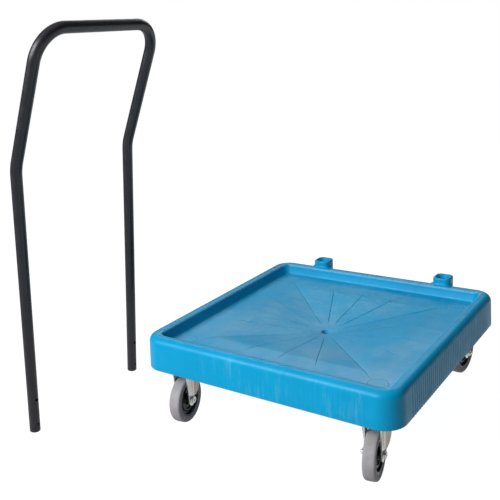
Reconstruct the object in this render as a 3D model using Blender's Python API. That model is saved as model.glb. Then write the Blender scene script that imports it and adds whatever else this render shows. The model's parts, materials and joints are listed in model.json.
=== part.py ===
"""Dish-rack dolly: a moulded tray deck on four swivel casters, with a loose tube push handle.

Metres, +Z up, floor at z = 0. The origin is the middle of the whole set's footprint: the deck
stands at DOLLY_CENTRE and the handle stands beside its left edge at HANDLE_FOOT.
"""

from math import cos, pi, radians, sin, tan

import bmesh
import bpy
from mathutils import Euler, Matrix, Vector

# ---- driving dimensions -------------------------------------------------------------------
GAP = 0.0003                    # clearance kept between pieces that touch

# Deck moulding
DOLLY_CENTRE = (0.1038, 0.0692)
DECK_WIDTH = 0.565              # outer width and depth at the skirt's lower edge
RIM_HEIGHT = 0.1925             # rim top above the floor
SKIRT_DEPTH = 0.069
DRAFT = 0.0026                  # the outer walls lean in by this much at the top
OUTER_CORNER = 0.044
RIM_ROUND = 0.014               # rounding of the rim's outer edge
RIM_INNER_ROUND = 0.006
TRAY_WIDTH = 0.505              # inside the rim, to take a 500 mm rack
TRAY_LEAN = 0.0055              # the inner walls lean in by this much down to the floor
TRAY_CORNER = 0.018
WALL = 0.005
SEAT_DEPTH = 0.0235             # the level border that carries the rack, below the rim
DISH_WIDTH = 0.343              # the dished middle of the floor
DISH_CORNER = 0.004
DISH_DROP = 0.0215
DRAIN_RADIUS = 0.0105
DRAIN_EDGE = 0.0015             # rounding of the drain's upper edge
DRAIN_BOSS = 0.0155             # outer radius of the drain's short spout
DRAIN_LENGTH = 0.012
ROUND_CORNER = 0.0005           # a square ring this much larger than its corners is nearly round
RIB_COUNT = 16
CORNER_STRETCH = 1.3            # ribs longer than this, against the straight ones, end in a corner
RIB_THICKNESS = 0.003
RIB_BOTTOM = 0.1335
CORNER_STEPS = 6
RIM_STEPS = 5

# Handle sockets on the deck's back edge
SOCKET_SPACING = 0.314
SOCKET_Y = 0.283
SOCKET_SIZE = 0.0405
SOCKET_CORNER = 0.012
SOCKET_RISE = 0.016             # above the rim
SOCKET_EDGE = 0.004             # rounding of the top edge
SOCKET_FLARE = 0.0055           # the foot that blends the boss into the rim
SOCKET_BORE = 0.0118
SOCKET_MOUTH = 0.0150
SOCKET_MOUTH_DEPTH = 0.0036
SOCKET_MOUTH_OVER = 0.0009      # the mouth's cutter runs on at 45 degrees past the top
CUT_PAST = 0.010                # how far a cutter runs past the surface it opens

# Push handle
TUBE_RADIUS = 0.0110
TUBE_BORE = 0.0092
HANDLE_FOOT = (-0.3687, -0.2047)
HANDLE_LEAN = radians(6.1)
HANDLE_YAW = radians(2.5)
LEG_LENGTH = 0.5615             # foot to the crank, along the leg
CRANK_ANGLE = radians(17.8)
UPPER_LENGTH = 0.2668           # crank to the grip bar's axis
CRANK_RADIUS = 0.090
GRIP_CORNER_RADIUS = 0.060
CROSS_HOLES = (0.018, 0.076)    # heights of the cross holes above the foot
CROSS_HOLE_RADIUS = 0.0036
TUBE_SIDES = 16

# Casters
CASTER_X = 0.2145
CASTER_Y = 0.2055
PAD_HEIGHT = 0.1265             # the deck's mounting pads, above the floor
PAD_SIZE = (0.108, 0.080)
WHEEL_RADIUS = 0.0490
TRAIL = 0.034                   # axle behind the swivel axis
PLATE_SIZE = (0.095, 0.067)
PLATE_THICKNESS = 0.0028
PLATE_CORNER = 0.008
SCREW_PITCH = (0.073, 0.0445)
SCREW_RADIUS = 0.0032
SCREW_DEPTH = 0.018             # thread inside the deck's pad
RACE_HEIGHT = 0.0076
RACE_RADIUS = 0.0235
FORK_SHEET = 0.0025
FORK_GAP = 0.028                # between the fork's legs
CROWN_RADIUS = 0.027
FORK_TOP_REAR = -0.016          # the legs' tops, from the axle
FORK_CREASE = 0.0065            # where the legs' front flanges turn outwards
FORK_WEB_FRONT = 0.030
FLANGE_WIDTHS = ((0.0065, 0.0055), (0.020, 0.0105), (0.045, 0.0155))     # height above the axle, width
FLANGE_TURN = 45.0              # degrees
KINGPIN_RADIUS = 0.006
AXLE_RADIUS = 0.00395
SLEEVE_RADIUS = 0.0065
HUB_HALF = 0.0125
HUB_RADIUS = 0.0355
HUB_WEB = 0.0045                # half the thickness of the hub's disc
HUB_RING = (0.0200, 0.0262, 0.0030)     # raised ring on each face: inner, outer radius, height
TYRE_HALF = 0.0120
WHEEL_SIDES = 24

# Each caster: name, side in X, side in Y, and how far it has swivelled. At 0 it trails to -Y.
CASTERS = (
    ("front_left", -1, -1, 9.0),
    ("front_right", 1, -1, 11.0),
    ("back_left", -1, 1, 188.0),
    ("back_right", 1, 1, 175.3),
)

# Heights that follow from them
SKIRT_BOTTOM = RIM_HEIGHT - SKIRT_DEPTH
SEAT_HEIGHT = RIM_HEIGHT - SEAT_DEPTH
DISH_BOTTOM = SEAT_HEIGHT - DISH_DROP
PLATE_TOP = PAD_HEIGHT - GAP
PLATE_BOTTOM = PLATE_TOP - PLATE_THICKNESS
RACE_TOP = PLATE_BOTTOM - GAP
CROWN_TOP = RACE_TOP - RACE_HEIGHT - GAP
CROWN_BOTTOM = CROWN_TOP - FORK_SHEET
FORK_HALF = FORK_GAP / 2 + FORK_SHEET

# Base colours, roughness and metallic values
LOOKS = {
    "blue_polyethylene": ((0.010, 0.290, 0.560), 0.45, 0.0),
    "black_powder_coat": ((0.020, 0.022, 0.030), 0.38, 0.0),
    "zinc_plate": ((0.620, 0.600, 0.560), 0.32, 1.0),
    "black_plastic": ((0.012, 0.012, 0.014), 0.50, 0.0),
    "grey_rubber": ((0.260, 0.250, 0.260), 0.70, 0.0),
}


# ---- scene helpers ------------------------------------------------------------------------
def clear_scene():
    for item in list(bpy.data.objects):
        bpy.data.objects.remove(item, do_unlink=True)


def material(name):
    found = bpy.data.materials.get(name)
    if found:
        return found
    colour, roughness, metallic = LOOKS[name]
    made = bpy.data.materials.new(name)
    made.use_nodes = True
    shader = made.node_tree.nodes["Principled BSDF"]
    shader.inputs["Base Color"].default_value = (*colour, 1.0)
    shader.inputs["Roughness"].default_value = roughness
    shader.inputs["Metallic"].default_value = metallic
    made.diffuse_color = (*colour, 1.0)
    return made


def add_object(name, mesh, look=None, parent=None):
    item = bpy.data.objects.new(name, mesh)
    bpy.context.scene.collection.objects.link(item)
    item.parent = parent
    if look and not mesh.materials:
        mesh.materials.append(material(look))
    return item


def add_empty(name, location, rotation=(0.0, 0.0, 0.0), parent=None):
    item = bpy.data.objects.new(name, None)
    bpy.context.scene.collection.objects.link(item)
    item.empty_display_size = 0.03
    item.location = location
    item.rotation_euler = rotation
    item.parent = parent
    return item


def finish_mesh(name, bm, smooth_angle=35.0):
    """Merge doubles, face the surface outwards and hand over a mesh."""
    bmesh.ops.remove_doubles(bm, verts=bm.verts, dist=1e-6)
    bmesh.ops.recalc_face_normals(bm, faces=bm.faces)
    mesh = bpy.data.meshes.new(name)
    bm.to_mesh(mesh)
    bm.free()
    mesh.shade_smooth()
    mesh.set_sharp_from_angle(angle=radians(smooth_angle))
    return mesh


def combined(name, base, added=(), removed=()):
    """The base mesh with other meshes joined to it, then others cut from it."""
    target = add_object(name + "_work", base)
    tools = []
    for operation, meshes in (("UNION", added), ("DIFFERENCE", removed)):
        for mesh in meshes:
            tool = add_object(mesh.name + "_tool", mesh)
            tool.hide_render = True
            tool.display_type = "WIRE"
            boolean = target.modifiers.new(tool.name, "BOOLEAN")
            boolean.operation = operation
            boolean.object = tool
            tools.append(tool)
    depsgraph = bpy.context.evaluated_depsgraph_get()
    result = bpy.data.meshes.new_from_object(target.evaluated_get(depsgraph))
    for item in [target] + tools:
        bpy.data.objects.remove(item, do_unlink=True)
    result.name = name
    return result


# ---- shape helpers ------------------------------------------------------------------------
def rounded_rectangle(half_x, half_y, corner, z, steps=CORNER_STEPS):
    """Corner arcs of a rounded rectangle, anticlockwise from +X."""
    points = []
    for quadrant, (side_x, side_y) in enumerate(((1, 1), (-1, 1), (-1, -1), (1, -1))):
        for step in range(steps + 1):
            angle = (quadrant + step / steps) * pi / 2
            x = side_x * (half_x - corner) + corner * cos(angle)
            y = side_y * (half_y - corner) + corner * sin(angle)
            points.append(Vector((x, y, z)))
    return points


def loft(name, rings, closed=False):
    """Skin a run of rings of equal length. Open runs get a cap at each end."""
    bm = bmesh.new()
    rows = [[bm.verts.new(point) for point in ring] for ring in rings]
    count = len(rows[0])
    pairs = list(zip(rows, rows[1:]))
    if closed:
        pairs.append((rows[-1], rows[0]))
    for lower, upper in pairs:
        for index in range(count):
            following = (index + 1) % count
            bm.faces.new((lower[index], lower[following], upper[following], upper[index]))
    if not closed:
        bm.faces.new(list(reversed(rows[0])))
        bm.faces.new(rows[-1])
    return finish_mesh(name, bm)


def turned(name, profile, segments, closed=True, along_x=False):
    """Spin a profile of (radius, height) points about Z, or about X."""
    bm = bmesh.new()
    verts = [bm.verts.new((radius, 0.0, height)) for radius, height in profile]
    edges = [bm.edges.new(pair) for pair in zip(verts, verts[1:])]
    if closed:
        edges.append(bm.edges.new((verts[-1], verts[0])))
    bmesh.ops.spin(bm, geom=verts + edges, cent=(0, 0, 0), axis=(0, 0, 1),
                   angle=2 * pi, steps=segments, use_merge=True)
    if along_x:
        bmesh.ops.rotate(bm, verts=bm.verts, matrix=Matrix.Rotation(pi / 2, 3, "Y"))
    return finish_mesh(name, bm)


def cylinder(name, radius, start, end, segments=16, end_radius=None):
    """A round or, with six segments, hexagonal prism between two points."""
    start = Vector(start)
    end = Vector(end)
    bm = bmesh.new()
    bmesh.ops.create_cone(bm, cap_ends=True, segments=segments, radius1=radius,
                          radius2=radius if end_radius is None else end_radius,
                          depth=(end - start).length)
    turn = Vector((0, 0, 1)).rotation_difference(end - start).to_matrix()
    bmesh.ops.rotate(bm, verts=bm.verts, matrix=turn)
    bmesh.ops.translate(bm, verts=bm.verts, vec=(start + end) / 2)
    return finish_mesh(name, bm)


def prism_x(name, outline, x_low, x_high):
    """Extrude an outline of (y, z) points along X."""
    bm = bmesh.new()
    face = bm.faces.new([bm.verts.new((x_low, y, z)) for y, z in outline])
    grown = bmesh.ops.extrude_face_region(bm, geom=[face])
    moved = [item for item in grown["geom"] if isinstance(item, bmesh.types.BMVert)]
    bmesh.ops.translate(bm, verts=moved, vec=(x_high - x_low, 0, 0))
    return finish_mesh(name, bm)


def arc(centre_y, centre_z, radius, start, end, steps):
    """Points of (y, z) along an arc, angles in degrees from +Y towards +Z."""
    turns = [radians(start + (end - start) * step / steps) for step in range(steps + 1)]
    return [(centre_y + radius * cos(turn), centre_z + radius * sin(turn)) for turn in turns]


def filleted_path(corners, radii, steps):
    """A polyline through the corners, with each inner corner rounded by an arc."""
    path = [Vector(corners[0])]
    for before, here, after, radius, count in zip(corners, corners[1:], corners[2:], radii, steps):
        here = Vector(here)
        back = (Vector(before) - here).normalized()
        ahead = (Vector(after) - here).normalized()
        half_turn = (pi - back.angle(ahead)) / 2
        centre = here + (back + ahead).normalized() * radius / cos(half_turn)
        first = here + back * radius * tan(half_turn) - centre
        last = here + ahead * radius * tan(half_turn) - centre
        for step in range(count + 1):
            share = step / count
            spoke = first * sin((1 - share) * 2 * half_turn) + last * sin(share * 2 * half_turn)
            path.append(centre + spoke / sin(2 * half_turn))
    path.append(Vector(corners[-1]))
    return path


def swept_rings(path, radius, sides, across):
    """Circles of the radius round a path, kept from twisting. across is one ring's first spoke."""
    rings = []
    spoke = Vector(across)
    for index, point in enumerate(path):
        ahead = path[min(index + 1, len(path) - 1)] - point
        behind = point - path[max(index - 1, 0)]
        along = (ahead.normalized() + behind.normalized()).normalized()
        spoke = (spoke - along * spoke.dot(along)).normalized()
        other = along.cross(spoke)
        ring = []
        for side in range(sides):
            turn = 2 * pi * side / sides
            ring.append(point + (spoke * cos(turn) + other * sin(turn)) * radius)
        rings.append(ring)
    return rings


# ---- tray deck ----------------------------------------------------------------------------
def deck_rings():
    """Rings of the deck's skin: up the outer wall, over the rim, across the floor, back below."""
    low_half = DECK_WIDTH / 2
    top_half = low_half - DRAFT
    tray_half = TRAY_WIDTH / 2
    foot_half = tray_half - TRAY_LEAN
    foot_corner = TRAY_CORNER - TRAY_LEAN
    dish_half = DISH_WIDTH / 2
    lip = DRAIN_RADIUS + DRAIN_EDGE
    spout_bottom = DISH_BOTTOM - DRAIN_LENGTH
    shape = [(low_half, OUTER_CORNER, SKIRT_BOTTOM)]
    for step in range(RIM_STEPS + 1):
        turn = step / RIM_STEPS * pi / 2
        inset = RIM_ROUND * (1 - cos(turn))
        height = RIM_HEIGHT - RIM_ROUND + RIM_ROUND * sin(turn)
        shape.append((top_half - inset, OUTER_CORNER - DRAFT - inset, height))
    shape += [
        (tray_half + RIM_INNER_ROUND, TRAY_CORNER + RIM_INNER_ROUND, RIM_HEIGHT),
        (tray_half + RIM_INNER_ROUND * 0.3, TRAY_CORNER + RIM_INNER_ROUND * 0.3,
         RIM_HEIGHT - RIM_INNER_ROUND * 0.3),
        (tray_half, TRAY_CORNER, RIM_HEIGHT - RIM_INNER_ROUND),
        (foot_half, foot_corner, SEAT_HEIGHT),
        (dish_half, DISH_CORNER, SEAT_HEIGHT),
        (lip, lip - ROUND_CORNER, DISH_BOTTOM),
        (DRAIN_RADIUS, DRAIN_RADIUS - ROUND_CORNER, DISH_BOTTOM - DRAIN_EDGE),
        (DRAIN_RADIUS, DRAIN_RADIUS - ROUND_CORNER, spout_bottom),
        (DRAIN_BOSS, DRAIN_BOSS - ROUND_CORNER, spout_bottom),
        (DRAIN_BOSS, DRAIN_BOSS - ROUND_CORNER, DISH_BOTTOM - WALL),
        (dish_half, DISH_CORNER, SEAT_HEIGHT - WALL),
        (foot_half + WALL, foot_corner + WALL, SEAT_HEIGHT - WALL),
        (tray_half + WALL, TRAY_CORNER + WALL, RIM_HEIGHT - RIM_INNER_ROUND - WALL),
        (top_half - RIM_ROUND, OUTER_CORNER - RIM_ROUND, RIM_HEIGHT - WALL),
        (top_half - RIM_ROUND * 0.43, OUTER_CORNER - RIM_ROUND * 0.43, RIM_HEIGHT - RIM_ROUND * 0.5),
        (top_half - WALL, OUTER_CORNER - WALL, RIM_HEIGHT - RIM_ROUND),
        (low_half - WALL, OUTER_CORNER - WALL, SKIRT_BOTTOM),
    ]
    return [rounded_rectangle(half, half, corner, z) for half, corner, z in shape]


def floor_middle(distance):
    """Height inside the floor's wall at a distance from the drain along X or Y."""
    dish_half = DISH_WIDTH / 2
    share = min(1.0, max(0.0, (distance - DRAIN_BOSS) / (dish_half - DRAIN_BOSS)))
    return DISH_BOTTOM + share * DISH_DROP - WALL / 2


def floor_ribs():
    """Evenly spaced ribs under the floor, from the drain to the skirt."""
    reach = DECK_WIDTH / 2 - 0.7 * WALL
    start = DRAIN_BOSS - 0.001
    ribs = []
    for number in range(RIB_COUNT):
        turn = 2 * pi * number / RIB_COUNT
        stretch = 1 / max(abs(cos(turn)), abs(sin(turn)))
        end = reach * stretch
        if stretch > CORNER_STRETCH:
            end -= OUTER_CORNER * 0.40
        outline = [
            (start, RIB_BOTTOM),
            (end, RIB_BOTTOM),
            (end, SEAT_HEIGHT - WALL / 2),
            (DISH_WIDTH / 2 * stretch, SEAT_HEIGHT - WALL / 2),
            (start, floor_middle(start / stretch)),
        ]
        rib = prism_x(f"rib_{number}", outline, -RIB_THICKNESS / 2, RIB_THICKNESS / 2)
        rib.transform(Matrix.Rotation(turn, 4, "Z"))
        ribs.append(rib)
    return ribs


def caster_pads():
    """Four mounting blocks under the deck's corners, whose tops end inside the floor's wall."""
    pads = []
    for name, side_x, side_y, _ in CASTERS:
        low = rounded_rectangle(PAD_SIZE[0] / 2, PAD_SIZE[1] / 2, 0.008, PAD_HEIGHT, steps=3)
        middle = Vector((side_x * CASTER_X, side_y * CASTER_Y, 0))
        low = [point + middle for point in low]
        high = [Vector((p.x, p.y, floor_middle(max(abs(p.x), abs(p.y))))) for p in low]
        pads.append(loft(f"pad_{name}", [low, high]))
    return pads


def socket_ring(side, grown, z, back=None):
    """One ring of a socket boss; back stops it short of the boss's rear face."""
    half = SOCKET_SIZE / 2 + grown
    half_y = half if back is None else (half + back) / 2
    middle = Vector((side * SOCKET_SPACING / 2, SOCKET_Y + half_y - half, 0))
    corner = min(SOCKET_CORNER + grown, half_y * 0.9)
    return [point + middle for point in rounded_rectangle(half, half_y, corner, z, steps=4)]


def sockets():
    """Two square bosses on the back edge, that the handle's legs drop into, and their flared feet."""
    top = RIM_HEIGHT + SOCKET_RISE
    bosses = []
    for side in (-1, 1):
        bosses.append(loft(f"socket_{side}", [
            socket_ring(side, 0, SKIRT_BOTTOM),
            socket_ring(side, 0, top - SOCKET_EDGE),
            socket_ring(side, -SOCKET_EDGE * 0.3, top - SOCKET_EDGE * 0.3),
            socket_ring(side, -SOCKET_EDGE, top),
        ]))
        bosses.append(loft(f"socket_foot_{side}", [
            socket_ring(side, SOCKET_FLARE, RIM_HEIGHT - SOCKET_FLARE, back=-SOCKET_EDGE),
            socket_ring(side, SOCKET_FLARE, RIM_HEIGHT, back=-SOCKET_EDGE),
            socket_ring(side, SOCKET_FLARE * 0.3, RIM_HEIGHT + SOCKET_FLARE * 0.3, back=-SOCKET_EDGE),
            socket_ring(side, -GAP, RIM_HEIGHT + SOCKET_FLARE, back=-SOCKET_EDGE),
        ]))
    return bosses


def socket_cutters():
    """The bores that take the handle's legs, their mouths and the bolt holes behind them."""
    top = RIM_HEIGHT + SOCKET_RISE
    cutters = []
    for side in (-1, 1):
        x = side * SOCKET_SPACING / 2
        cutters.append(cylinder(f"bore_{side}", SOCKET_BORE, (x, SOCKET_Y, SKIRT_BOTTOM - CUT_PAST),
                                (x, SOCKET_Y, top + CUT_PAST), 20))
        cutters.append(cylinder(f"mouth_{side}", SOCKET_BORE - SOCKET_MOUTH_OVER,
                                (x, SOCKET_Y, top - SOCKET_MOUTH_DEPTH),
                                (x, SOCKET_Y, top + SOCKET_MOUTH_OVER), 20,
                                end_radius=SOCKET_MOUTH + SOCKET_MOUTH_OVER))
        for height in CROSS_HOLES:
            z = SKIRT_BOTTOM + 0.001 + height
            cutters.append(cylinder(f"bolt_hole_{side}_{height}", CROSS_HOLE_RADIUS, (x, SOCKET_Y, z),
                                    (x, SOCKET_Y + SOCKET_SIZE, z), 10))
    return cutters


def screw_places():
    """Where a caster's four screws go, from its swivel axis."""
    return [(x * SCREW_PITCH[0] / 2, y * SCREW_PITCH[1] / 2) for x in (-1, 1) for y in (-1, 1)]


def screw_hole_cutters():
    cutters = []
    for name, side_x, side_y, _ in CASTERS:
        for number, (x, y) in enumerate(screw_places()):
            x += side_x * CASTER_X
            y += side_y * CASTER_Y
            cutters.append(cylinder(f"hole_{name}_{number}", SCREW_RADIUS + GAP, (x, y, PAD_HEIGHT - 0.01),
                                    (x, y, PAD_HEIGHT + SCREW_DEPTH + 0.001), 10))
    return cutters


def build_deck(dolly):
    shell = loft("deck_shell", deck_rings(), closed=True)
    mesh = combined("tray_deck", shell, added=floor_ribs() + caster_pads() + sockets(),
                    removed=socket_cutters() + screw_hole_cutters())
    add_object("tray_deck", mesh, "blue_polyethylene", dolly)


# ---- push handle --------------------------------------------------------------------------
def build_handle():
    half = SOCKET_SPACING / 2
    crank_x = UPPER_LENGTH * sin(CRANK_ANGLE)
    top_z = LEG_LENGTH + UPPER_LENGTH * cos(CRANK_ANGLE)
    corners = [
        (0, -half, 0), (0, -half, LEG_LENGTH), (crank_x, -half, top_z),
        (crank_x, half, top_z), (0, half, LEG_LENGTH), (0, half, 0),
    ]
    radii = (CRANK_RADIUS, GRIP_CORNER_RADIUS, GRIP_CORNER_RADIUS, CRANK_RADIUS)
    path = filleted_path(corners, radii, (3, 7, 7, 3))
    outside = swept_rings(path, TUBE_RADIUS, TUBE_SIDES, (1, 0, 0))
    inside = swept_rings(path, TUBE_BORE, TUBE_SIDES, (1, 0, 0))
    tube = loft("tube", outside + list(reversed(inside)), closed=True)
    holes = []
    for side in (-1, 1):
        for height in CROSS_HOLES:
            holes.append(cylinder(f"cross_{side}_{height}", CROSS_HOLE_RADIUS,
                                  (-2 * TUBE_RADIUS, side * half, height),
                                  (2 * TUBE_RADIUS, side * half, height), 12))
    mesh = combined("push_handle", tube, removed=holes)
    foot_height = TUBE_RADIUS * sin(HANDLE_LEAN)
    stand = add_empty("handle_foot", (*HANDLE_FOOT, foot_height), Euler((0, HANDLE_LEAN, HANDLE_YAW)))
    add_object("push_handle", mesh, "black_powder_coat", stand)


# ---- casters, each in its own frame: swivel axis up Z, floor at z = 0, axle along X --------
def plate_mesh():
    size_x = PLATE_SIZE[0] / 2
    size_y = PLATE_SIZE[1] / 2
    blank = loft("plate_blank", [
        rounded_rectangle(size_x, size_y, PLATE_CORNER, PLATE_BOTTOM, steps=3),
        rounded_rectangle(size_x, size_y, PLATE_CORNER, PLATE_TOP, steps=3),
    ])
    low = PLATE_BOTTOM - 0.01
    high = PLATE_TOP + 0.01
    holes = [cylinder("pin_hole", KINGPIN_RADIUS + GAP, (0, 0, low), (0, 0, high), 20)]
    for number, (x, y) in enumerate(screw_places()):
        holes.append(cylinder(f"plate_hole_{number}", SCREW_RADIUS + 0.0005, (x, y, low), (x, y, high), 10))
    return combined("caster_plate", blank, removed=holes)


def race_mesh():
    low = RACE_TOP - RACE_HEIGHT
    inner = KINGPIN_RADIUS + 0.003
    profile = [
        (inner, RACE_TOP), (RACE_RADIUS, RACE_TOP), (RACE_RADIUS - 0.002, RACE_TOP - RACE_HEIGHT / 2),
        (RACE_RADIUS, low), (inner, low),
    ]
    return turned("caster_race", profile, 24)


def kingpin_mesh():
    head = CROWN_BOTTOM - GAP
    profile = [
        (0, PLATE_TOP - GAP), (KINGPIN_RADIUS, PLATE_TOP - GAP), (KINGPIN_RADIUS, head),
        (0.009, head), (0.009, head - 0.002), (0.007, head - 0.003), (0, head - 0.003),
    ]
    return turned("caster_kingpin", profile, 16, closed=False)


def fork_outline():
    """The fork leg's flat strip as (y, z): round foot at the axle, straight up to the crown."""
    foot = arc(-TRAIL, WHEEL_RADIUS - 0.002, 0.012, 180, 335, 7)
    crown = CROWN_TOP - WHEEL_RADIUS
    edge = [(FORK_CREASE, 0.014), (FORK_CREASE, crown), (FORK_TOP_REAR, crown), (-0.0125, 0.020)]
    return foot + [(y - TRAIL, z + WHEEL_RADIUS) for y, z in edge]


def flange_mesh(side):
    """The flange along a leg's crease, widening towards the crown and turned outwards."""
    crown = CROWN_TOP - WHEEL_RADIUS
    edge = [(width, height) for height, width in FLANGE_WIDTHS]
    edge.append((edge[-1][0] + 0.001, crown - GAP))
    outline = [(0.0, edge[0][1])] + edge + [(0.0, crown - GAP)]
    inner = side * FORK_GAP / 2
    outer = side * FORK_HALF
    flange = prism_x("flange", outline, min(inner, outer) - inner, max(inner, outer) - inner)
    turn = Matrix.Rotation(-side * radians(FLANGE_TURN), 4, "Z")
    flange.transform(Matrix.Translation((inner + side * GAP, FORK_CREASE - TRAIL - GAP, WHEEL_RADIUS)) @ turn)
    return flange


def fork_mesh():
    outline = fork_outline()
    inner = FORK_GAP / 2
    left = prism_x("leg_left", outline, -FORK_HALF, -inner)
    right = prism_x("leg_right", outline, inner, FORK_HALF)
    rear = FORK_TOP_REAR - TRAIL
    front = FORK_WEB_FRONT - TRAIL
    roof = [(rear, CROWN_BOTTOM), (front, CROWN_BOTTOM), (front, CROWN_TOP), (rear, CROWN_TOP)]
    web = prism_x("web", roof, -FORK_HALF + 0.001, FORK_HALF - 0.001)
    disc = cylinder("crown", CROWN_RADIUS, (0, 0, CROWN_BOTTOM), (0, 0, CROWN_TOP), 28)
    holes = [
        cylinder("king_hole", KINGPIN_RADIUS + 0.0005, (0, 0, CROWN_BOTTOM - CUT_PAST),
                 (0, 0, CROWN_TOP + CUT_PAST), 20),
        cylinder("axle_hole", AXLE_RADIUS + GAP, (-2 * FORK_HALF, -TRAIL, WHEEL_RADIUS),
                 (2 * FORK_HALF, -TRAIL, WHEEL_RADIUS), 16),
    ]
    added = [right, web, disc, flange_mesh(-1), flange_mesh(1)]
    return combined("caster_fork", left, added=added, removed=holes)


def axle_bolt_mesh():
    head_start = FORK_HALF + GAP
    shank = cylinder("shank", AXLE_RADIUS, (-FORK_HALF - 0.0085, 0, 0), (head_start + 0.001, 0, 0), 16)
    head = cylinder("head", 0.0073, (head_start, 0, 0), (head_start + 0.0050, 0, 0), 6)
    return combined("caster_axle_bolt", shank, added=[head])


def axle_nut_mesh():
    start = -FORK_HALF - GAP
    blank = cylinder("nut_blank", 0.0073, (start - 0.0065, 0, 0), (start, 0, 0), 6)
    bore = cylinder("nut_bore", AXLE_RADIUS + GAP, (start - 0.02, 0, 0), (start + 0.02, 0, 0), 16)
    return combined("caster_axle_nut", blank, removed=[bore])


def sleeve_mesh():
    half = FORK_GAP / 2 - GAP
    bore = AXLE_RADIUS + GAP + 0.0001
    profile = [(bore, half), (SLEEVE_RADIUS, half), (SLEEVE_RADIUS, -half), (bore, -half)]
    return turned("caster_axle_sleeve", profile, 16, along_x=True)


def mirrored(profile):
    """A half profile of (radius, offset) points, closed by its mirror image."""
    return profile + [(radius, -offset) for radius, offset in reversed(profile)]


def hub_mesh():
    inner, outer, rise = HUB_RING
    half = [
        (SLEEVE_RADIUS + GAP + 0.0001, HUB_HALF), (0.0110, HUB_HALF), (0.0125, HUB_WEB),
        (inner, HUB_WEB), (inner + 0.0012, HUB_WEB + rise), (outer - 0.0012, HUB_WEB + rise),
        (outer, HUB_WEB), (HUB_RADIUS - 0.0047, HUB_WEB), (HUB_RADIUS - 0.0032, TYRE_HALF - 0.0015),
        (HUB_RADIUS, TYRE_HALF - 0.0015),
    ]
    return turned("caster_wheel_hub", mirrored(half), WHEEL_SIDES, along_x=True)


def tyre_mesh():
    half = [
        (HUB_RADIUS + GAP, TYRE_HALF - 0.0010), (0.0405, TYRE_HALF), (0.0452, TYRE_HALF - 0.0005),
        (WHEEL_RADIUS - 0.0011, TYRE_HALF - 0.0025), (WHEEL_RADIUS, TYRE_HALF - 0.0060),
    ]
    return turned("caster_tyre", mirrored(half), WHEEL_SIDES, along_x=True)


def screw_mesh():
    head = PLATE_BOTTOM - GAP
    shank = cylinder("screw_shank", SCREW_RADIUS, (0, 0, head - 0.001), (0, 0, PAD_HEIGHT + SCREW_DEPTH), 10)
    hexagon = cylinder("screw_head", 0.0058, (0, 0, head - 0.004), (0, 0, head), 6)
    return combined("caster_screw", hexagon, added=[shank])


def build_casters(dolly):
    fixed = [("plate", plate_mesh()), ("race", race_mesh()), ("kingpin", kingpin_mesh())]
    axle = [("axle_bolt", axle_bolt_mesh()), ("axle_nut", axle_nut_mesh()), ("axle_sleeve", sleeve_mesh())]
    fork = fork_mesh()
    hub = hub_mesh()
    tyre = tyre_mesh()
    screw = screw_mesh()
    for name, side_x, side_y, swivelled in CASTERS:
        prefix = f"caster_{name}_"
        place = (side_x * CASTER_X, side_y * CASTER_Y, 0)
        seat = add_empty(prefix + "seat", place, parent=dolly)
        swivel = add_empty(prefix + "swivel_axis", (0, 0, 0), (0, 0, radians(swivelled)), seat)
        axis = add_empty(prefix + "wheel_axis", (0, -TRAIL, WHEEL_RADIUS), parent=swivel)
        for label, mesh in fixed:
            add_object(prefix + label, mesh, "zinc_plate", seat)
        for number, (x, y) in enumerate(screw_places(), start=1):
            add_object(f"{prefix}screw_{number}", screw, "zinc_plate", seat).location = (x, y, 0)
        add_object(prefix + "fork", fork, "zinc_plate", swivel)
        for label, mesh in axle:
            add_object(prefix + label, mesh, "zinc_plate", axis)
        add_object(prefix + "wheel_hub", hub, "black_plastic", axis)
        add_object(prefix + "tyre", tyre, "grey_rubber", axis)


def main():
    clear_scene()
    dolly = add_empty("dolly_centre", (*DOLLY_CENTRE, 0))
    build_deck(dolly)
    build_casters(dolly)
    build_handle()


main()
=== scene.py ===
"""Looks for the dish-rack dolly and its loose push handle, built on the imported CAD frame.

Metres, +Z up, -Y is the dolly's front. The frame's boxes and joints place the deck, the handle
and the casters.
"""

import json
from math import atan2, cos, pi, radians, sin, tan

import bmesh
import bpy
import numpy as np
from mathutils import Euler, Matrix, Vector


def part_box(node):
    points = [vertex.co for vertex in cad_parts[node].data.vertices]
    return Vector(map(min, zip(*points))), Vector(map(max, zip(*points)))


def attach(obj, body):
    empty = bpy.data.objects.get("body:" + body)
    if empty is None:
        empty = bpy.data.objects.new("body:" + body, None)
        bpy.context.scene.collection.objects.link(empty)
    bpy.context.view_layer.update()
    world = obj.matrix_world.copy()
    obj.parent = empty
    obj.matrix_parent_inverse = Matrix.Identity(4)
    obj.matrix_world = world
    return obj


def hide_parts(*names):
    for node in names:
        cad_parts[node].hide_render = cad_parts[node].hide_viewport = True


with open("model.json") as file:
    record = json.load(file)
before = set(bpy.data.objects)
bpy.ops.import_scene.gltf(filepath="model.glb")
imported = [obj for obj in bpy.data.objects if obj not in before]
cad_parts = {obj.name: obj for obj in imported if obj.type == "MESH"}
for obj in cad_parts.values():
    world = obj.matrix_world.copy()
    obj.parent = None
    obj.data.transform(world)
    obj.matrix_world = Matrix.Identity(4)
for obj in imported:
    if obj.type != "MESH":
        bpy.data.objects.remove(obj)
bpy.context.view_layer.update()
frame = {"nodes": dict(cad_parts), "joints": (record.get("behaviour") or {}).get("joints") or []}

# ---- places, from the frame ---------------------------------------------------------------
DECK_LOW, DECK_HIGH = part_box("tray_deck")
DECK_X = (DECK_LOW.x + DECK_HIGH.x) / 2
HALF = (DECK_HIGH.x - DECK_LOW.x) / 2
DECK_Y = DECK_LOW.y + HALF
SKIRT_Z = DECK_LOW.z
SOCKET_TOP = DECK_HIGH.z

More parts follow.
